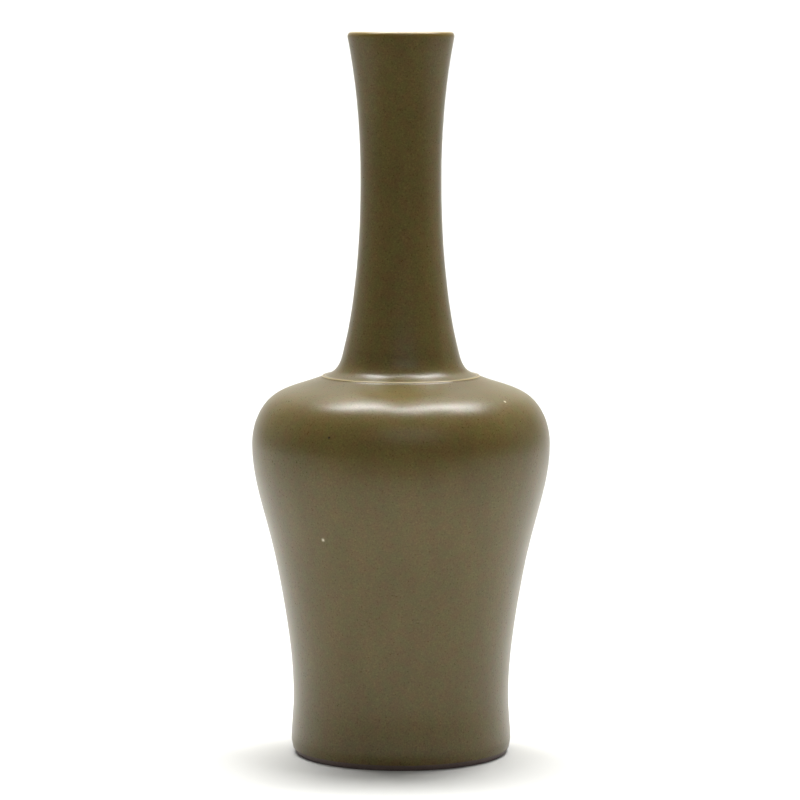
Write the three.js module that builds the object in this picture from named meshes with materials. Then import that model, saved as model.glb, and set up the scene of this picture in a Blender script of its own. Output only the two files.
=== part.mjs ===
// Mallet-shaped bottle vase: thrown stoneware under a tea-dust glaze.
//
// The pot is thrown in three sections that are luted together with slip: a lower
// body with its floor and turned foot, a domed shoulder, and a long neck with a
// flared mouth. Glaze coats the outside, the inside and the recessed base, and a
// brown dressing is brushed over the bare clay of the foot.
//
// Millimetres, +Z up, origin in the middle of the standing edge.

import * as THREE from 'three';

// Finished outline, over the glaze. Each rise is counted from the station below
// it, and each lean from upright, in degrees, outwards positive.
const FOOT_RADIUS = 56.25; // widest ring of the foot
const FOOT_ROUND = 11; // rounding under that ring
const FOOT_TURN = 39.5; // how far the rounding turns before the standing edge
const WAIST_RADIUS = 55.15; // slight hollow above the foot
const WAIST_RISE = 29.5; // from the table
const FLANK_RADIUS = 59.1;
const FLANK_RISE = 43;
const FLANK_LEAN = 9;
const BELLY_RADIUS = 67.2;
const BELLY_RISE = 41;
const BELLY_LEAN = 14.4;
const SHOULDER_RADIUS = 76; // widest ring of the body, where two sections are luted
const SHOULDER_RISE = 45;
const DOME_RADIUS = 66.2; // rounded edge of the shoulder
const DOME_RISE = 23.2;
const DOME_LEAN = -50.2;
const SLOPE_RADIUS = 51.4; // flattest ring on top of the shoulder
const SLOPE_RISE = 6.8;
const SLOPE_LEAN = -73;
const RIDGE_RADIUS = 40.6; // outer edge of the raised line where the neck is luted on
const RIDGE_RISE = 3.8;
const RIDGE_LEAN = -68;
const COLLAR_RADIUS = 33.6; // foot of the neck, where it sweeps out over the shoulder
const COLLAR_RISE = 2.8;
const COLLAR_LEAN = -46;
const ROOT_RADIUS = 28.6; // lower neck
const ROOT_RISE = 12.8;
const ROOT_LEAN = -14.2;
const NECK_RADIUS = 22.95;
const NECK_RISE = 35;
const NECK_LEAN = -6.2;
const THROAT_RADIUS = 20.55; // narrowest ring of the neck
const THROAT_RISE = 49.6;
const MOUTH_RADIUS = 27; // where the flared wall turns into the lip
const MOUTH_RISE = 71;
const MOUTH_LEAN = 11;

// Clay walls and the coats on them
const BODY_WALL = 5.5;
const SHOULDER_WALL = 5;
const NECK_WALL = 3.6;
const FLOOR = 7;
const GLAZE = 0.5;
const GLAZE_LINE = 3; // height at which the glaze stops above the table
const DRESSING = 0.3; // brown dressing on the bare clay of the foot

// Luted joints
const BODY_SLIP = 1; // slip between lower body and shoulder
const NECK_SLIP = 0.8; // slip between shoulder and neck
const BEAD = 0.45; // how far the neck's squeezed slip stands out as a ridge

// Turned foot, seen from below
const STANDING_BORE = 44.5; // inner radius of the clay standing edge
const RECESS = 6; // depth of the glazed base above the table
const BORE_LEAN = 14; // lean of the foot ring's inner side

// Fineness of the facets
const TURN_SIDES = 36;
const LIP_STEPS = 3; // for each quarter turn of the lip
const FOOT_STEPS = 2;
const FLOOR_STEPS = 3;

const radians = THREE.MathUtils.degToRad;
const point = (radius, height) => new THREE.Vector2(radius, height);

// A station of the outline: its place, the direction of the wall as it climbs
// through it, and the clay wall behind it.
function station(radius, height, lean, wall) {
	const turn = radians(lean);
	return { at: point(radius, height), along: point(Math.sin(turn), Math.cos(turn)), wall };
}

// The point that lies a given depth under the finished surface at a station.
function under(place, depth) {
	const outward = point(place.along.y, -place.along.x);
	return place.at.clone().addScaledVector(outward, -depth);
}

// A smooth curve to the next station, leaving and arriving along their leans.
// The low station itself is left out, so that sweeps can follow each other.
function sweep(low, high, steps) {
	const reach = low.at.distanceTo(high.at) / 3;
	const leave = low.at.clone().addScaledVector(low.along, reach);
	const arrive = high.at.clone().addScaledVector(high.along, -reach);
	const curve = new THREE.CubicBezierCurve(low.at, leave, arrive, high.at);
	const places = [];
	for (let step = 1; step < steps; step += 1) {
		const share = step / steps;
		const wall = THREE.MathUtils.lerp(low.wall, high.wall, share);
		places.push({ at: curve.getPoint(share), along: curve.getTangent(share), wall });
	}
	places.push(high);
	return places;
}

// Sweeps through a row of stations, each with its number of steps. The low
// station is the first place.
function climb(low, ...legs) {
	const places = [low];
	for (const [next, steps] of legs) places.push(...sweep(places.at(-1), next, steps));
	return places;
}

// Points of a round arc about a centre, between two directions in radians.
function arc(centre, radius, from, to, steps) {
	const points = [];
	for (let step = 0; step <= steps; step += 1) {
		const turn = THREE.MathUtils.lerp(from, to, step / steps);
		points.push(point(centre.x + radius * Math.cos(turn), centre.y + radius * Math.sin(turn)));
	}
	return points;
}

// The point where a rising line passes a height.
function passing(line, height) {
	const next = line.findIndex((place) => place.y > height);
	const [low, high] = [line[next - 1], line[next]];
	return low.clone().lerp(high, (height - low.y) / (high.y - low.y));
}

// The stretch of a rising line between two heights, cut exactly at both.
function stretch(line, bottom, top) {
	const inside = line.filter((place) => place.y > bottom && place.y < top);
	return [passing(line, bottom), ...inside, passing(line, top)];
}

const footCentre = point(FOOT_RADIUS - FOOT_ROUND, FOOT_ROUND * Math.sin(radians(FOOT_TURN)));
const glazeLineTurn = -Math.asin((footCentre.y - GLAZE_LINE) / FOOT_ROUND);

const bulge = station(FOOT_RADIUS, footCentre.y, 0, BODY_WALL);
const waist = station(WAIST_RADIUS, WAIST_RISE, 0, BODY_WALL);
const flank = station(FLANK_RADIUS, waist.at.y + FLANK_RISE, FLANK_LEAN, BODY_WALL);
const belly = station(BELLY_RADIUS, flank.at.y + BELLY_RISE, BELLY_LEAN, BODY_WALL);
const shoulder = station(SHOULDER_RADIUS, belly.at.y + SHOULDER_RISE, 0, SHOULDER_WALL);
const seam = station(SHOULDER_RADIUS, shoulder.at.y + BODY_SLIP, 0, SHOULDER_WALL);
const dome = station(DOME_RADIUS, seam.at.y + DOME_RISE, DOME_LEAN, SHOULDER_WALL);
const slope = station(SLOPE_RADIUS, dome.at.y + SLOPE_RISE, SLOPE_LEAN, SHOULDER_WALL);
const ridge = station(RIDGE_RADIUS, slope.at.y + RIDGE_RISE, RIDGE_LEAN, SHOULDER_WALL);
const ridgeRun = NECK_SLIP * Math.tan(radians(RIDGE_LEAN));
const ridgeTop = station(RIDGE_RADIUS + ridgeRun, ridge.at.y + NECK_SLIP, RIDGE_LEAN, NECK_WALL);
const collar = station(COLLAR_RADIUS, ridgeTop.at.y + COLLAR_RISE, COLLAR_LEAN, NECK_WALL);
const root = station(ROOT_RADIUS, collar.at.y + ROOT_RISE, ROOT_LEAN, NECK_WALL);
const neck = station(NECK_RADIUS, root.at.y + NECK_RISE, NECK_LEAN, NECK_WALL);
const throat = station(THROAT_RADIUS, neck.at.y + THROAT_RISE, 0, NECK_WALL);
const mouth = station(MOUTH_RADIUS, throat.at.y + MOUTH_RISE, MOUTH_LEAN, NECK_WALL);

// Finished outside of each section, from the bulge of the foot to the mouth.
const bodyOutside = climb(bulge, [waist, 2], [flank, 2], [belly, 2], [shoulder, 3]);
const shoulderOutside = climb(seam, [dome, 4], [slope, 2], [ridge, 1]);
const neckOutside = climb(ridgeTop, [collar, 2], [root, 3], [neck, 2], [throat, 2], [mouth, 3]);

const clayOf = (place) => under(place, GLAZE);
const insideOf = (place) => under(place, GLAZE + place.wall);
const glazedInsideOf = (place) => under(place, GLAZE + place.wall + GLAZE);

// The inside needs fewer steps, and starts level with the waist.
const cavity = [
	...climb(waist, [flank, 1], [belly, 1], [shoulder, 2]),
	...climb(seam, [dome, 3], [slope, 1], [ridge, 1]),
	...climb(ridgeTop, [collar, 1], [root, 2], [neck, 1], [throat, 1], [mouth, 2]),
];
const clayInside = cavity.map(insideOf);

// Foot: concentric roundings of clay, dressing and glaze, cut by the table.
function footArc(radius, bottom, steps) {
	const start = -Math.asin((footCentre.y - bottom) / radius);
	return arc(footCentre, radius, start, glazeLineTurn, steps);
}
const clayRound = FOOT_ROUND - GLAZE;
const dressedRound = clayRound + DRESSING;
const clayFoot = footArc(clayRound, DRESSING, FOOT_STEPS);
const dressedFoot = footArc(dressedRound, 0, FOOT_STEPS);

// Inner side of the clay foot ring at a height.
const boreSlant = Math.tan(radians(BORE_LEAN));
const boreAt = (height) => point(STANDING_BORE - (height - DRESSING) * boreSlant, height);
const dressedBoreAt = (height) => {
	const side = DRESSING / Math.cos(radians(BORE_LEAN));
	return point(boreAt(height).x - side, height);
};
const baseTop = RECESS + GLAZE;

// Inside floor, and the arc that turns the wall into it.
const floorTop = baseTop + FLOOR;
const floorRound = waist.at.y - floorTop;
const floorCentre = point(clayInside[0].x - floorRound, waist.at.y);
const floorArc = (radius) => arc(floorCentre, radius, 0, -Math.PI / 2, FLOOR_STEPS);

// Lip: half round over the end of the wall.
const lipCentre = under(mouth, GLAZE + NECK_WALL / 2);
const lipLean = radians(MOUTH_LEAN);
const lipArc = (radius, from, to) => {
	const steps = LIP_STEPS * Math.round(Math.abs(to - from) / (Math.PI / 2));
	return arc(lipCentre, radius, from - lipLean, to - lipLean, steps);
};
const clayLip = NECK_WALL / 2;
const glazedLip = clayLip + GLAZE;

// Seats of the neck, flat rings cut through the wall at the ridge.
const seatLow = clayOf(ridge);
const seatHigh = clayOf(ridgeTop);
const crest = station(
	(ridge.at.x + ridgeTop.at.x) / 2,
	(ridge.at.y + ridgeTop.at.y) / 2,
	RIDGE_LEAN,
	NECK_WALL,
);
const slipCrest = under(crest, GLAZE - BEAD);
const glazedCrest = under(crest, -BEAD);

// Revolves an outline that closes on itself, or that starts and ends on the axis.
// It runs up the outside and down the inside.
function turned(name, outline, colour, roughness) {
	const closed = outline[0].x === 0 ? outline : [...outline, outline[0]];
	const geometry = new THREE.LatheGeometry(closed, TURN_SIDES);
	geometry.rotateX(Math.PI / 2);
	const material = new THREE.MeshStandardMaterial({ color: colour, roughness, metalness: 0 });
	const mesh = new THREE.Mesh(geometry, material);
	mesh.name = name;
	return mesh;
}

const STONEWARE = 0xb8aa90;
const SLIP = 0xc6baa2;
const TEA_DUST = 0x645d40;
const BROWN_DRESSING = 0x43382f;

function lowerBody() {
	const inside = stretch(clayInside, waist.at.y, shoulder.at.y).slice(1);
	const outline = [
		point(0, baseTop),
		boreAt(baseTop),
		boreAt(RECESS),
		boreAt(DRESSING),
		...clayFoot,
		...bodyOutside.map(clayOf),
		...inside.reverse(),
		...floorArc(floorRound),
		point(0, floorTop),
	];
	return turned('lower_body', outline, STONEWARE, 0.9);
}

function bodyJointSlip() {
	const [low, high] = [clayOf(shoulder), clayOf(seam)];
	const outline = [low, high, insideOf(seam), insideOf(shoulder)];
	return turned('body_joint_slip', outline, SLIP, 0.9);
}

function shoulderSection() {
	const inside = stretch(clayInside, seam.at.y, seatLow.y);
	const outline = [...shoulderOutside.map(clayOf), ...inside.reverse()];
	return turned('shoulder_section', outline, STONEWARE, 0.9);
}

function neckJointSlip() {
	const inside = stretch(clayInside, seatLow.y, seatHigh.y);
	const outline = [seatLow, slipCrest, seatHigh, ...inside.reverse()];
	return turned('neck_joint_slip', outline, SLIP, 0.9);
}

function neckSection() {
	const inside = [passing(clayInside, seatHigh.y), ...clayInside.filter((p) => p.y > seatHigh.y)];
	const outline = [
		...neckOutside.map(clayOf),
		...lipArc(clayLip, 0, Math.PI).slice(1, -1),
		...inside.reverse(),
	];
	return turned('neck_section', outline, STONEWARE, 0.9);
}

function outerGlaze() {
	const glazeEdge = (radius) => arc(footCentre, radius, glazeLineTurn, 0, 1)[0];
	const places = [...bodyOutside, ...shoulderOutside];
	const finished = [
		glazeEdge(FOOT_ROUND),
		...places.map((place) => place.at),
		glazedCrest,
		...neckOutside.map((place) => place.at),
		...lipArc(glazedLip, 0, Math.PI / 2).slice(1),
	];
	const clay = [
		glazeEdge(clayRound),
		...places.map(clayOf),
		slipCrest,
		...neckOutside.map(clayOf),
		...lipArc(clayLip, 0, Math.PI / 2).slice(1),
	];
	return turned('outer_glaze', [...finished, ...clay.reverse()], TEA_DUST, 0.35);
}

function innerGlaze() {
	const clay = [
		point(0, floorTop),
		...floorArc(floorRound).reverse(),
		...clayInside.slice(1),
		...lipArc(clayLip, Math.PI, Math.PI / 2).slice(1),
	];
	const finished = [
		...lipArc(glazedLip, Math.PI / 2, Math.PI).slice(0, -1),
		...cavity.slice(1).map(glazedInsideOf).reverse(),
		...floorArc(floorRound - GLAZE),
		point(0, floorTop + GLAZE),
	];
	return turned('inner_glaze', [...clay, ...finished], TEA_DUST, 0.35);
}

function baseGlaze() {
	const outline = [point(0, RECESS), boreAt(RECESS), boreAt(baseTop), point(0, baseTop)];
	return turned('base_glaze', outline, TEA_DUST, 0.4);
}

function footDressing() {
	const outline = [
		...dressedFoot,
		...[...clayFoot].reverse(),
		boreAt(DRESSING),
		boreAt(RECESS),
		dressedBoreAt(RECESS),
		dressedBoreAt(0),
	];
	return turned('foot_dressing', outline, BROWN_DRESSING, 0.7);
}

const vase = new THREE.Group();
vase.name = 'mallet_vase';
vase.add(
	lowerBody(),
	bodyJointSlip(),
	shoulderSection(),
	neckJointSlip(),
	neckSection(),
	outerGlaze(),
	innerGlaze(),
	baseGlaze(),
	footDressing(),
);

export default vase;
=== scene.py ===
"""Mallet vase: thrown stoneware under a speckled tea-dust glaze."""
import math

import bpy
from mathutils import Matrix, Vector
from mathutils.geometry import interpolate_bezier


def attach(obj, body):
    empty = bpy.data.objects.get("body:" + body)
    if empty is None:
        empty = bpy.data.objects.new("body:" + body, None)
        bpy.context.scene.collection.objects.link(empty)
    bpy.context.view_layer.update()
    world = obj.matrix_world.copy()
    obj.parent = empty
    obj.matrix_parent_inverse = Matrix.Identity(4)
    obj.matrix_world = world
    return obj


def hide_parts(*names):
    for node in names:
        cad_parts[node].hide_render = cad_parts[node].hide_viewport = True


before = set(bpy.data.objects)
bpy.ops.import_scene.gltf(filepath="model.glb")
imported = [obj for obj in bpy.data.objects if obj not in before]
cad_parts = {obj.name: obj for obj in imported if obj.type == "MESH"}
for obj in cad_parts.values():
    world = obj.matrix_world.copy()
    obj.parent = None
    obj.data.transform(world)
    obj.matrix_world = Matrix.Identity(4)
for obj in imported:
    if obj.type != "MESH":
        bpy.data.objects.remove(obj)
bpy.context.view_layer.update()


# Camera, level with the rim and tilted down a little, five heights away from the vase,
# as the ellipses of the foot, the ridge and the rim show it.
CAMERA_AWAY = 1.877
CAMERA_LEVEL = 0.368
CAMERA_ASIDE = -0.0005
CAMERA_TILT = math.radians(5.684)
LENS = 166.5
SENSOR_WIDTH = 36
SIGHT_LIMIT = 50
bpy.ops.object.camera_add(location=(CAMERA_ASIDE, -CAMERA_AWAY, CAMERA_LEVEL),
                          rotation=(math.pi / 2 - CAMERA_TILT, 0, 0))
camera = bpy.context.object
camera.data.sensor_width = SENSOR_WIDTH
camera.data.lens = LENS
camera.data.clip_end = SIGHT_LIMIT
bpy.context.scene.camera = camera


# Studio: a white table that sweeps up into a white backdrop, and a greyer floor that
# starts in front of it, with the room there left dim. The table's reflection is the pale
# veil on the lower body, and it ends under the shoulder because the table ends.
TABLE_SIZE = 9
TABLE_FRONT = -0.42
TABLE_FADE = 0.16
SWEEP_BACK = 2.2
SWEEP_RISE = 3.4
SWEEP_ROUND = 1.0
SWEEP_FACETS = 16
EDGE_REACH = 0.01
PAPER_ROUGHNESS = 0.9
PAPER_SHEEN = 0.1
ROOM_FRONT = 0.16
ROOM_BACK = 1.05
ROOM_DIM_UP_TO = -0.1
ROOM_LIT_FROM = 0.8


def linear(hex_colour):
    """An sRGB hex colour as linear RGBA."""
    parts = [int(hex_colour[i:i + 2], 16) / 255 for i in (0, 2, 4)]
    return [c / 12.92 if c <= 0.04045 else ((c + 0.055) / 1.055) ** 2.4 for c in parts] + [1.0]


def put(tree, kind, settings=None, **links):
    """Adds a node with its settings, and its inputs by name as values or as sockets."""
    node = tree.nodes.new(kind)
    for key, value in (settings or {}).items():
        setattr(node, key, value)
    for name, value in links.items():
        wanted = int(name[1:]) if name[1:].isdigit() else name.replace("_", " ")
        socket = node.inputs[wanted]
        if isinstance(value, bpy.types.NodeSocket):
            tree.links.new(value, socket)
        else:
            socket.default_value = value
    return node


def select_back_edge():
    """Selects the table's back edge, where the sweep starts."""
    bpy.ops.mesh.select_all(action="DESELECT")
    bpy.ops.object.mode_set(mode="OBJECT")
    for edge in table.data.edges:
        ends = [table.matrix_world @ table.data.vertices[v].co for v in edge.vertices]
        edge.select = all(end.y > SWEEP_BACK - EDGE_REACH and end.z < EDGE_REACH for end in ends)
    bpy.ops.object.mode_set(mode="EDIT")


TABLE_WHITE = linear("dededb")
FLOOR_GREY = linear("6e6c68")
bpy.ops.mesh.primitive_plane_add(size=TABLE_SIZE, location=(0, SWEEP_BACK - TABLE_SIZE / 2, 0))
table = bpy.context.object
table.name = "table_sweep"
bpy.ops.object.mode_set(mode="EDIT")
select_back_edge()
bpy.ops.mesh.select_mode(type="EDGE")
bpy.ops.mesh.extrude_region_move(TRANSFORM_OT_translate={"value": (0, 0, SWEEP_RISE)})
select_back_edge()
bpy.ops.mesh.bevel(offset=SWEEP_ROUND, segments=SWEEP_FACETS, profile=0.5)
bpy.ops.object.mode_set(mode="OBJECT")
bpy.ops.object.shade_smooth()
bpy.ops.object.transform_apply(location=True, rotation=True, scale=True)

paper = bpy.data.materials.new("white_paper")
paper.use_nodes = True
sheet = paper.node_tree
surface = sheet.nodes["Principled BSDF"]
spot = put(sheet, "ShaderNodeTexCoord").outputs["Object"]
reach = put(sheet, "ShaderNodeSeparateXYZ", Vector=spot)
whiteness = put(sheet, "ShaderNodeMapRange", {"interpolation_type": "SMOOTHSTEP"},
                Value=reach.outputs["Y"], From_Min=TABLE_FRONT - TABLE_FADE, From_Max=TABLE_FRONT)
tone = put(sheet, "ShaderNodeMix", {"data_type": "RGBA"}, Factor=whiteness.outputs[0],
           _6=FLOOR_GREY, _7=TABLE_WHITE)
sheet.links.new(tone.outputs[2], surface.inputs["Base Color"])
surface.inputs["Roughness"].default_value = PAPER_ROUGHNESS
surface.inputs["Specular IOR Level"].default_value = PAPER_SHEEN
table.data.materials.append(paper)

world = bpy.data.worlds.new("studio")
bpy.context.scene.world = world
world.use_nodes = True
sky = world.node_tree
around = put(sky, "ShaderNodeTexCoord")
split = put(sky, "ShaderNodeSeparateXYZ", Vector=around.outputs["Generated"])
depth = put(sky, "ShaderNodeMapRange", {"interpolation_type": "SMOOTHSTEP"}, Value=split.outputs["Y"],
            From_Min=ROOM_DIM_UP_TO, From_Max=ROOM_LIT_FROM, To_Min=ROOM_FRONT, To_Max=ROOM_BACK)
sky.links.new(depth.outputs["Result"], sky.nodes["Background"].inputs["Strength"])
sky.nodes["Background"].inputs["Color"].default_value = (1, 1, 1, 1)

bpy.context.scene.view_settings.view_transform = "Standard"


def softbox(name, place, width, height, power, aim=(0, 0, 0.2)):
    """A rectangular softbox, turned to the vase unless it is aimed elsewhere."""
    turn = (Vector(aim) - Vector(place)).to_track_quat("-Z", "Y").to_euler()
    bpy.ops.object.light_add(type="AREA", location=place, rotation=turn)
    lamp = bpy.context.object
    lamp.name = name
    lamp.data.shape = "RECTANGLE"
    lamp.data.size = width
    lamp.data.size_y = height
    lamp.data.energy = power


# Three softboxes over the vase make the wide highlight on its shoulder, one washes the
# backdrop white, and one fills in from the front.
softbox("softbox_left", (-0.46, 0.48, 1.75), width=0.8, height=0.5, power=17)
softbox("softbox_right", (0.66, 0.48, 1.72), width=0.8, height=0.5, power=17)
softbox("softbox_middle", (0.08, 0.14, 1.75), width=0.62, height=0.56, power=20)
softbox("backdrop_wash", (0, 0.9, 3.3), width=3.4, height=0.5, power=85, aim=(0, 2.3, 1.3))
softbox("fill_front", (0.45, -2.7, 2.1), width=2.4, height=1.3, power=10)


# Thrown sections: lower body, shoulder and neck, of buff stoneware. Each is thrown on the
# wheel and turned once it has stiffened, and then they are luted together. Fine grog in
# the clay would show where the coats leave it bare. Sizes are in millimetres.
MM = 0.001
TURN_SIDES = 160
CURVE_STEPS = 9
MERGE_WITHIN = 0.004 * MM
SMOOTH_BELOW = math.radians(35)
LEVEL_SLACK = 1e-6
GLAZE = 0.5
DRESSING = 0.3
BODY_WALL = 5.5
SHOULDER_WALL = 5
NECK_WALL = 3.6
BODY_SLIP = 1
NECK_SLIP = 0.8
FOOT_RADIUS = 56.25
FOOT_ROUND = 11
FOOT_TURN = math.radians(39.5)
FOOT_FACETS = 8
BULGE_LEVEL = FOOT_ROUND * math.sin(FOOT_TURN)
GLAZE_LINE = 3
WAIST_LEVEL = 29.5
SHOULDER_RADIUS = 76
RIDGE_RADIUS = 40.6
RIDGE_LEAN = -68
MOUTH_LEAN = 11
LIP_FACETS = 20
FLOOR_THICKNESS = 7
FLOOR_FACETS = 16
RECESS = 6
STANDING_BORE = 44.5
BORE_SLANT = math.tan(math.radians(14))
CLAY_COLOUR = linear("b8aa90")
CLAY_GROG = linear("9c8c70")
CLAY_ROUGHNESS = 0.85
GROG_SIZE = 0.9 * MM
GROG_DEPTH = 0.1 * MM


class Station:
    """A place on the outline, the wall's direction there and its clay."""

    def __init__(self, radius, level, lean, wall):
        self.at = Vector((radius, level))
        self.along = Vector((math.sin(math.radians(lean)), math.cos(math.radians(lean))))
        self.wall = wall

    def under(self, depth):
        """The point that lies a depth under the finished surface."""
        return self.at - depth * Vector((self.along.y, -self.along.x))

    def higher(self, radius, rise, lean, wall):
        """The next station, a rise above this one."""
        return Station(radius, self.at.y + rise, lean, wall)


def between(low, high, share, at, along):
    """A place part of the way from one station to the next."""
    place = Station(0, 0, 0, low.wall + (high.wall - low.wall) * share)
    place.at = at
    place.along = along.normalized()
    return place


def climb(low, *stations):
    """Places on smooth curves through the stations, which keep their leans."""
    places = [low]
    for high in stations:
        low = places[-1]
        reach = (high.at - low.at).length / 3
        knots = [low.at, low.at + low.along * reach, high.at - high.along * reach, high.at]
        curve = [p.xy for p in interpolate_bezier(*[k.to_3d() for k in knots], CURVE_STEPS + 1)]
        for step in range(1, CURVE_STEPS):
            places.append(between(low, high, step / CURVE_STEPS, curve[step],
                                  curve[step + 1] - curve[step - 1]))
        places.append(high)
    return places


# Outline of the finished pot, over the glaze, from the foot's widest ring to the mouth.
# A wall's lean is in degrees from upright, and its clay is what stands behind the glaze.
bulge = Station(radius=FOOT_RADIUS, level=BULGE_LEVEL, lean=0, wall=BODY_WALL)
waist = Station(radius=55.15, level=WAIST_LEVEL, lean=0, wall=BODY_WALL)
flank = waist.higher(radius=59.1, rise=43, lean=9, wall=BODY_WALL)
belly = flank.higher(radius=67.2, rise=41, lean=14.4, wall=BODY_WALL)
shoulder = belly.higher(radius=SHOULDER_RADIUS, rise=45, lean=0, wall=SHOULDER_WALL)
seam = shoulder.higher(radius=SHOULDER_RADIUS, rise=BODY_SLIP, lean=0, wall=SHOULDER_WALL)
dome = seam.higher(radius=66.2, rise=23.2, lean=-50.2, wall=SHOULDER_WALL)
slope = dome.higher(radius=51.4, rise=6.8, lean=-73, wall=SHOULDER_WALL)
ridge = slope.higher(radius=RIDGE_RADIUS, rise=3.8, lean=RIDGE_LEAN, wall=SHOULDER_WALL)
ridge_run = NECK_SLIP * math.tan(math.radians(RIDGE_LEAN))
ridge_top = ridge.higher(radius=RIDGE_RADIUS + ridge_run, rise=NECK_SLIP, lean=RIDGE_LEAN, wall=NECK_WALL)
collar = ridge_top.higher(radius=33.6, rise=2.8, lean=-46, wall=NECK_WALL)
root = collar.higher(radius=28.6, rise=12.8, lean=-14.2, wall=NECK_WALL)
neck = root.higher(radius=22.95, rise=35, lean=-6.2, wall=NECK_WALL)
throat = neck.higher(radius=20.55, rise=49.6, lean=0, wall=NECK_WALL)
mouth = throat.higher(radius=27, rise=71, lean=MOUTH_LEAN, wall=NECK_WALL)

body_outside = climb(bulge, waist, flank, belly, shoulder)
shoulder_outside = climb(seam, dome, slope, ridge)
neck_outside = climb(ridge_top, collar, root, neck, throat, mouth)
cavity = climb(waist, flank, belly, shoulder) + shoulder_outside + neck_outside
clay_inside = [place.under(GLAZE + place.wall) for place in cavity]

base_top = RECESS + GLAZE
floor_top = base_top + FLOOR_THICKNESS
floor_round = WAIST_LEVEL - floor_top
floor_centre = Vector((clay_inside[0].x - floor_round, WAIST_LEVEL))
foot_centre = Vector((FOOT_RADIUS - FOOT_ROUND, BULGE_LEVEL))
clay_round = FOOT_ROUND - GLAZE
glaze_line_turn = -math.asin((BULGE_LEVEL - GLAZE_LINE) / FOOT_ROUND)


def arc(centre, radius, start, end, steps):
    """Points of a round arc between two angles."""
    turns = [start + (end - start) * step / steps for step in range(steps + 1)]
    return [centre + radius * Vector((math.cos(turn), math.sin(turn))) for turn in turns]


def foot_arc(radius, bottom):
    """Rounded outer edge of the foot, from a level up to the glaze line."""
    start = -math.asin((BULGE_LEVEL - bottom) / radius)
    return arc(foot_centre, radius, start, glaze_line_turn, FOOT_FACETS)


def bore_at(level, coat=0):
    """Inner side of the foot ring at a level, with or without its coat."""
    side = coat / math.cos(math.atan(BORE_SLANT))
    return Vector((STANDING_BORE - (level - DRESSING) * BORE_SLANT - side, level))


def floor_arc(radius):
    """Round inside corner between the wall and the floor."""
    return arc(floor_centre, radius, 0, -math.pi / 2, FLOOR_FACETS)


def lip_arc(radius, start, end):
    """Half-round lip over the end of the wall, from its outer side at 0."""
    lean = math.radians(MOUTH_LEAN)
    centre = mouth.under(GLAZE + NECK_WALL / 2)
    return arc(centre, radius, start - lean, end - lean, LIP_FACETS)


def passing(line, level):
    """The point where a rising line passes a level."""
    high = next(i for i, place in enumerate(line) if place.y > level + LEVEL_SLACK)
    low, up = line[high - 1], line[high]
    return low.lerp(up, (level - low.y) / (up.y - low.y))


def stretch(line, bottom, top):
    """The stretch of a rising line between two levels."""
    inside = [p for p in line if bottom + LEVEL_SLACK < p.y < top - LEVEL_SLACK]
    return [passing(line, bottom), *inside, passing(line, top)]


def turned(name, outline, finish, *nodes):
    """Draws half the section of a piece and spins it once round the axis of the wheel."""
    bpy.ops.object.select_all(action="DESELECT")
    bpy.ops.curve.primitive_bezier_curve_add(location=(0, 0, 0))
    piece = bpy.context.object
    piece.name = name
    piece.data.splines.clear()
    section = piece.data.splines.new("POLY")
    section.points.add(len(outline) - 1)
    for drawn, place in zip(section.points, outline):
        drawn.co = (place.x * MM, 0, place.y * MM, 1)
    section.use_cyclic_u = outline[0].x > 0
    bpy.ops.object.convert(target="MESH")
    bpy.ops.object.mode_set(mode="EDIT")
    bpy.ops.mesh.select_all(action="SELECT")
    bpy.ops.mesh.spin(steps=TURN_SIDES, angle=2 * math.pi, center=(0, 0, 0), axis=(0, 0, 1))
    bpy.ops.mesh.select_all(action="SELECT")
    bpy.ops.mesh.remove_doubles(threshold=MERGE_WITHIN)
    bpy.ops.mesh.normals_make_consistent(inside=False)
    bpy.ops.object.mode_set(mode="OBJECT")
    bpy.ops.object.shade_smooth_by_angle(angle=SMOOTH_BELOW)
    piece.data.materials.append(finish)
    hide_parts(*nodes)
    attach(piece, "root")
    return piece


def fired_clay(name, colour, grog):
    """Fired stoneware: matt, with fine grog of another tone in it."""
    clay = bpy.data.materials.new(name)
    clay.use_nodes = True
    tree = clay.node_tree
    shader = tree.nodes["Principled BSDF"]
    where = put(tree, "ShaderNodeTexCoord").outputs["Object"]
    grains = put(tree, "ShaderNodeTexNoise", Vector=where, Scale=1 / GROG_SIZE, Detail=3)
    mix = put(tree, "ShaderNodeMix", {"data_type": "RGBA"}, Factor=grains.outputs["Fac"],
              _6=colour, _7=grog)
    bump = put(tree, "ShaderNodeBump", Height=grains.outputs["Fac"], Distance=GROG_DEPTH, Strength=0.5)
    tree.links.new(mix.outputs[2], shader.inputs["Base Color"])
    tree.links.new(bump.outputs["Normal"], shader.inputs["Normal"])
    shader.inputs["Roughness"].default_value = CLAY_ROUGHNESS
    return clay


stoneware = fired_clay("fired_stoneware", CLAY_COLOUR, CLAY_GROG)
clay_foot = foot_arc(clay_round, DRESSING)
seat_low = ridge.under(GLAZE)
seat_high = ridge_top.under(GLAZE)
lower_inside = stretch(clay_inside, WAIST_LEVEL, shoulder.at.y)[1:]
neck_inside = [passing(clay_inside, seat_high.y), *[p for p in clay_inside if p.y > seat_high.y]]

lower = turned("lower_body_clay", [
    Vector((0, base_top)), bore_at(base_top), bore_at(RECESS), bore_at(DRESSING),
    *clay_foot, *[p.under(GLAZE) for p in body_outside],
    *reversed(lower_inside), *floor_arc(floor_round), Vector((0, floor_top))], stoneware, "lower_body")
upper = turned("shoulder_clay", [
    *[p.under(GLAZE) for p in shoulder_outside],
    *reversed(stretch(clay_inside, seam.at.y, seat_low.y))], stoneware, "shoulder_section")
neck_clay = turned("neck_clay", [
    *[p.under(GLAZE) for p in neck_outside], *lip_arc(NECK_WALL / 2, 0, math.pi)[1:-1],
    *reversed(neck_inside)], stoneware, "neck_section")


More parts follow.
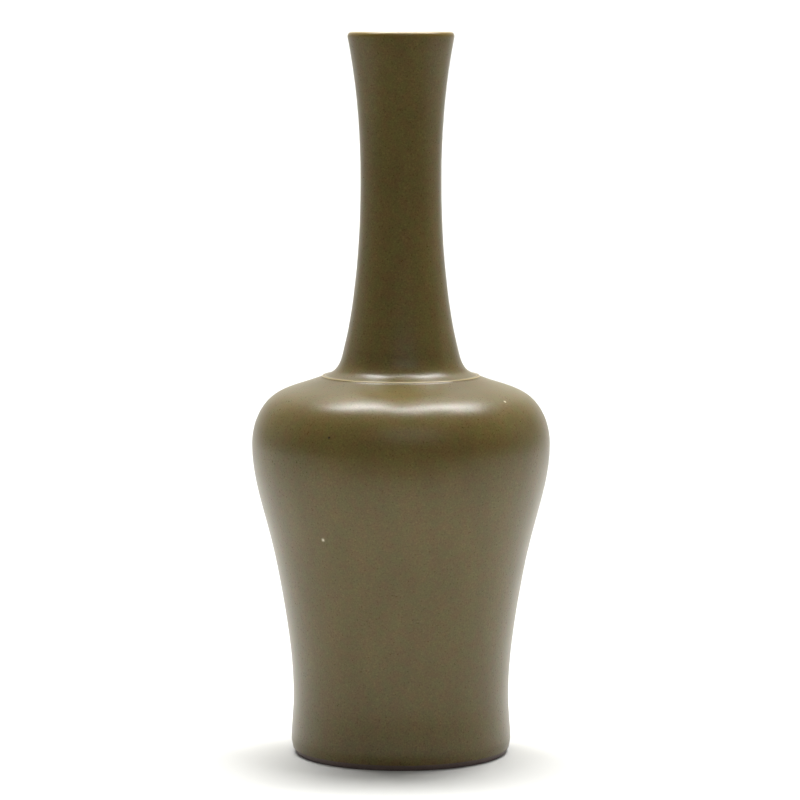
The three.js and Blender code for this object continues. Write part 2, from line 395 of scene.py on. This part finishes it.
# Luting slip: liquid clay of the same body, brushed on the scored seats. Under the neck
# it squeezes out and is left standing as a fine ridge.
SLIP_COLOUR = linear("c6baa2")
BEAD = 0.45
BEAD_FACETS = 8
slip = fired_clay("luting_slip", SLIP_COLOUR, CLAY_COLOUR)


def bead_arc(depth):
    """The squeezed bead, a low round rise between the two edges of the seat."""
    run = ridge_top.at - ridge.at
    points = []
    for step in range(1, BEAD_FACETS):
        share = step / BEAD_FACETS
        place = Station(0, 0, RIDGE_LEAN, NECK_WALL)
        place.at = ridge.at + run * share
        points.append(place.under(depth - BEAD * math.sin(math.pi * share)))
    return points


body_slip = turned("body_slip_ring", [
    shoulder.under(GLAZE), seam.under(GLAZE),
    seam.under(GLAZE + SHOULDER_WALL), shoulder.under(GLAZE + SHOULDER_WALL)], slip, "body_joint_slip")
neck_slip = turned("neck_slip_ring", [
    seat_low, *bead_arc(GLAZE), seat_high,
    *reversed(stretch(clay_inside, seat_low.y, seat_high.y))], slip, "neck_joint_slip")


# Tea-dust glaze: an iron glaze that grows fine yellow-green crystals as it cools. It is a
# satin olive brown, dusted with specks, and breaks to pale tan where it runs thin on the
# ridge. The crest of the lip is painted pale tan too, partly for thin glaze and partly as a
# painted highlight where the overhead light falls on it.
GLAZE_DARK = linear("4a3d1b")
GLAZE_OLIVE = linear("5f5026")
GLAZE_GREEN = linear("66592b")
GLAZE_SPECK = linear("7d6c3c")
GLAZE_RED = linear("6a4f2c")
GLAZE_MOSS = linear("5c5a2a")
GLAZE_OCHRE = linear("7a6226")
GLAZE_THIN_AND_HIGHLIGHT = linear("c2ae80")
DUST_STOPS = ((0.30, GLAZE_DARK), (0.46, GLAZE_OLIVE), (0.58, GLAZE_GREEN), (0.74, GLAZE_SPECK))
CLOUD_STOPS = ((0.36, GLAZE_RED), (0.64, GLAZE_MOSS))
CLOUD_SHARE = 0.4
CLOUD_SIZE = 5 * MM
SPECK_SIZE = 0.8 * MM
MOTTLE_SIZE = 14 * MM
MOTTLE_STRETCH = (1, 1, 0.4)
MOTTLE_DARK = 0.88
MOTTLE_LIGHT = 1.12
NOISE_LOW = 0.3
NOISE_HIGH = 0.7
PEEL_SIZE = 1.6 * MM
PEEL_DEPTH = 0.06 * MM
SATIN_LEAST = 0.27
SATIN_MOST = 0.37
GLAZE_IOR = 1.43

# Where the glaze runs thin: a line high on the ridge, and the crest of the lip, with a
# band of warmer glaze under it. The pale crest is also a painted highlight of the lamps
# above it.
RIDGE_LINE = (ridge.at.y + NECK_SLIP * 0.75) * MM
RIDGE_LINE_CORE = 0.05 * MM
RIDGE_LINE_EDGE = 0.32 * MM
RIDGE_THINNESS = 0.75
LIP_TOP = (mouth.under(GLAZE + NECK_WALL / 2).y + NECK_WALL / 2 + GLAZE) * MM
CREST = 0.7 * MM
CREST_THINNESS_AND_HIGHLIGHT = 0.7
WARM_FROM = 4.5 * MM
WARM_FULL = 1.5 * MM
WARMTH = 0.45

# Marks of the firing on the front: a pale pinhole in its halo, a pale chip and an iron
# spot, each with its place, its radius and its colour.
PINHOLE = (-0.0386, -0.0559, 0.1169)
CHIP = (0.0519, -0.0379, 0.1841)
IRON_SPOT = (-0.0355, -0.0657, 0.1691)
MARKS = (
    (PINHOLE, 1.5 * MM, linear("8b8160")),
    (PINHOLE, 0.8 * MM, linear("d6cdb4")),
    (CHIP, 0.9 * MM, linear("cfc6ac")),
    (IRON_SPOT, 0.8 * MM, linear("2a2216")))


def grade(ramp, stops):
    """Sets a colour ramp to its stops, each a place on it and a colour."""
    for place, _ in stops[1:-1]:
        ramp.elements.new(place)
    for stop, (place, colour) in zip(ramp.elements, stops):
        stop.position = place
        stop.color = colour


def dusted(tree, where, fine):
    """Crystals over the olive ground, in broad drawn-out shades and in small clouds."""
    dust = put(tree, "ShaderNodeValToRGB", Fac=fine.outputs["Fac"])
    grade(dust.color_ramp, DUST_STOPS)
    drawn = put(tree, "ShaderNodeMapping", Vector=where, Scale=MOTTLE_STRETCH)
    broad = put(tree, "ShaderNodeTexNoise", Vector=drawn.outputs[0], Scale=1 / MOTTLE_SIZE, Detail=3)
    shade = put(tree, "ShaderNodeMapRange", Value=broad.outputs["Fac"], From_Min=NOISE_LOW,
                From_Max=NOISE_HIGH, To_Min=MOTTLE_DARK, To_Max=MOTTLE_LIGHT)
    toned = put(tree, "ShaderNodeVectorMath", {"operation": "SCALE"}, Scale=shade.outputs["Result"],
                _0=dust.outputs["Color"])
    cloud = put(tree, "ShaderNodeTexNoise", Vector=where, Scale=1 / CLOUD_SIZE, Detail=2)
    clouds = put(tree, "ShaderNodeValToRGB", Fac=cloud.outputs["Fac"])
    grade(clouds.color_ramp, CLOUD_STOPS)
    clouded = put(tree, "ShaderNodeMix", {"data_type": "RGBA"}, Factor=CLOUD_SHARE,
                  _6=toned.outputs[0], _7=clouds.outputs["Color"])
    return clouded.outputs[2]


def thinned_and_highlit(tree, where, colour):
    """Glaze that warms under the lip, breaks to tan on the ridge, and is painted pale on the crest, thin
    glaze with a painted highlight.
    """
    level = put(tree, "ShaderNodeSeparateXYZ", Vector=where).outputs["Z"]
    off_ridge = put(tree, "ShaderNodeMath", {"operation": "SUBTRACT"}, _0=level, _1=RIDGE_LINE)
    near = put(tree, "ShaderNodeMath", {"operation": "ABSOLUTE"}, _0=off_ridge.outputs[0])
    on_ridge = put(tree, "ShaderNodeMapRange", {"interpolation_type": "SMOOTHSTEP"},
                   Value=near.outputs[0], From_Min=RIDGE_LINE_CORE, From_Max=RIDGE_LINE_EDGE,
                   To_Min=RIDGE_THINNESS, To_Max=0)
    # Top of the lip painted pale: thin glaze there, and a painted highlight from the lamps above.
    lip_thin_and_highlit = put(tree, "ShaderNodeMapRange", {"interpolation_type": "SMOOTHSTEP"}, Value=level,
                 From_Min=LIP_TOP - CREST, From_Max=LIP_TOP, To_Min=0, To_Max=CREST_THINNESS_AND_HIGHLIGHT)
    thin_and_crest_highlight = put(tree, "ShaderNodeMath", {"operation": "MAXIMUM"}, _0=on_ridge.outputs[0],
               _1=lip_thin_and_highlit.outputs[0])
    near_lip = put(tree, "ShaderNodeMapRange", {"interpolation_type": "SMOOTHSTEP"}, Value=level,
                   From_Min=LIP_TOP - WARM_FROM, From_Max=LIP_TOP - WARM_FULL, To_Min=0, To_Max=WARMTH)
    warmed = put(tree, "ShaderNodeMix", {"data_type": "RGBA"}, Factor=near_lip.outputs[0],
                 _6=colour, _7=GLAZE_OCHRE)
    broken_and_highlit = put(tree, "ShaderNodeMix", {"data_type": "RGBA"}, Factor=thin_and_crest_highlight.outputs[0],
                 _6=warmed.outputs[2], _7=GLAZE_THIN_AND_HIGHLIGHT)
    return broken_and_highlit.outputs[2]


def marked(tree, where, colour):
    """Lays the marks of the firing over the glaze's colour."""
    for centre, radius, mark in MARKS:
        away = put(tree, "ShaderNodeVectorMath", {"operation": "DISTANCE"}, _0=where, _1=centre)
        inside = put(tree, "ShaderNodeMapRange", {"interpolation_type": "SMOOTHSTEP"},
                     Value=away.outputs["Value"], From_Min=radius / 2, From_Max=radius,
                     To_Min=1, To_Max=0)
        laid = put(tree, "ShaderNodeMix", {"data_type": "RGBA"}, Factor=inside.outputs[0],
                   _6=colour, _7=mark)
        colour = laid.outputs[2]
    return colour


def tea_dust(name):
    """Satin tea-dust glaze: duller where its crystals lie thick, with a faint orange peel."""
    glaze = bpy.data.materials.new(name)
    glaze.use_nodes = True
    tree = glaze.node_tree
    shader = tree.nodes["Principled BSDF"]
    where = put(tree, "ShaderNodeTexCoord").outputs["Object"]
    fine = put(tree, "ShaderNodeTexNoise", Vector=where, Scale=1 / SPECK_SIZE, Detail=2, Roughness=0.6)
    colour = marked(tree, where, thinned_and_highlit(tree, where, dusted(tree, where, fine)))
    peel = put(tree, "ShaderNodeTexNoise", Vector=where, Scale=1 / PEEL_SIZE, Detail=2)
    bump = put(tree, "ShaderNodeBump", Height=peel.outputs["Fac"], Distance=PEEL_DEPTH, Strength=0.6)
    satin = put(tree, "ShaderNodeMapRange", Value=fine.outputs["Fac"], From_Min=NOISE_LOW,
                From_Max=NOISE_HIGH, To_Min=SATIN_LEAST, To_Max=SATIN_MOST)
    tree.links.new(colour, shader.inputs["Base Color"])
    tree.links.new(satin.outputs["Result"], shader.inputs["Roughness"])
    tree.links.new(bump.outputs["Normal"], shader.inputs["Normal"])
    shader.inputs["IOR"].default_value = GLAZE_IOR
    return glaze


glaze = tea_dust("tea_dust_glaze")
glazed_lip = NECK_WALL / 2 + GLAZE
outside = [*body_outside, *shoulder_outside]
coat = turned("glaze_coat", [
    foot_arc(FOOT_ROUND, 0)[-1],
    *[p.at for p in outside], *bead_arc(0), *[p.at for p in neck_outside],
    *lip_arc(glazed_lip, 0, math.pi)[1:-1],
    *reversed([p.under(2 * GLAZE + p.wall) for p in cavity[1:]]),
    *floor_arc(floor_round - GLAZE), Vector((0, floor_top + GLAZE)), Vector((0, floor_top)),
    *reversed(floor_arc(floor_round)), *clay_inside[1:],
    *lip_arc(NECK_WALL / 2, math.pi, 0)[1:-1],
    *reversed([p.under(GLAZE) for p in neck_outside]), *reversed(bead_arc(GLAZE)),
    *reversed([p.under(GLAZE) for p in outside]),
    clay_foot[-1]], glaze, "outer_glaze", "inner_glaze")


# Glazed base: the same tea-dust glaze, poured into the recess that the foot ring leaves.
# It lies well above the table, because the pot stands on its ring alone.
base = turned("base_coat", [
    Vector((0, RECESS)), bore_at(RECESS), bore_at(base_top), Vector((0, base_top))],
    glaze, "base_glaze")


# Foot dressing: a purplish-brown iron wash brushed over the bare clay of the foot, matt
# and a little uneven.
WASH_DARK = linear("4b3e3a")
WASH_LIGHT = linear("75645e")
WASH_ROUGHNESS = 0.6
wash = fired_clay("iron_wash", WASH_DARK, WASH_LIGHT)
wash.node_tree.nodes["Principled BSDF"].inputs["Roughness"].default_value = WASH_ROUGHNESS
foot = turned("foot_wash", [
    *foot_arc(clay_round + DRESSING, 0), *reversed(clay_foot), bore_at(DRESSING), bore_at(RECESS),
    bore_at(RECESS, DRESSING), bore_at(0, DRESSING)], wash, "foot_dressing")
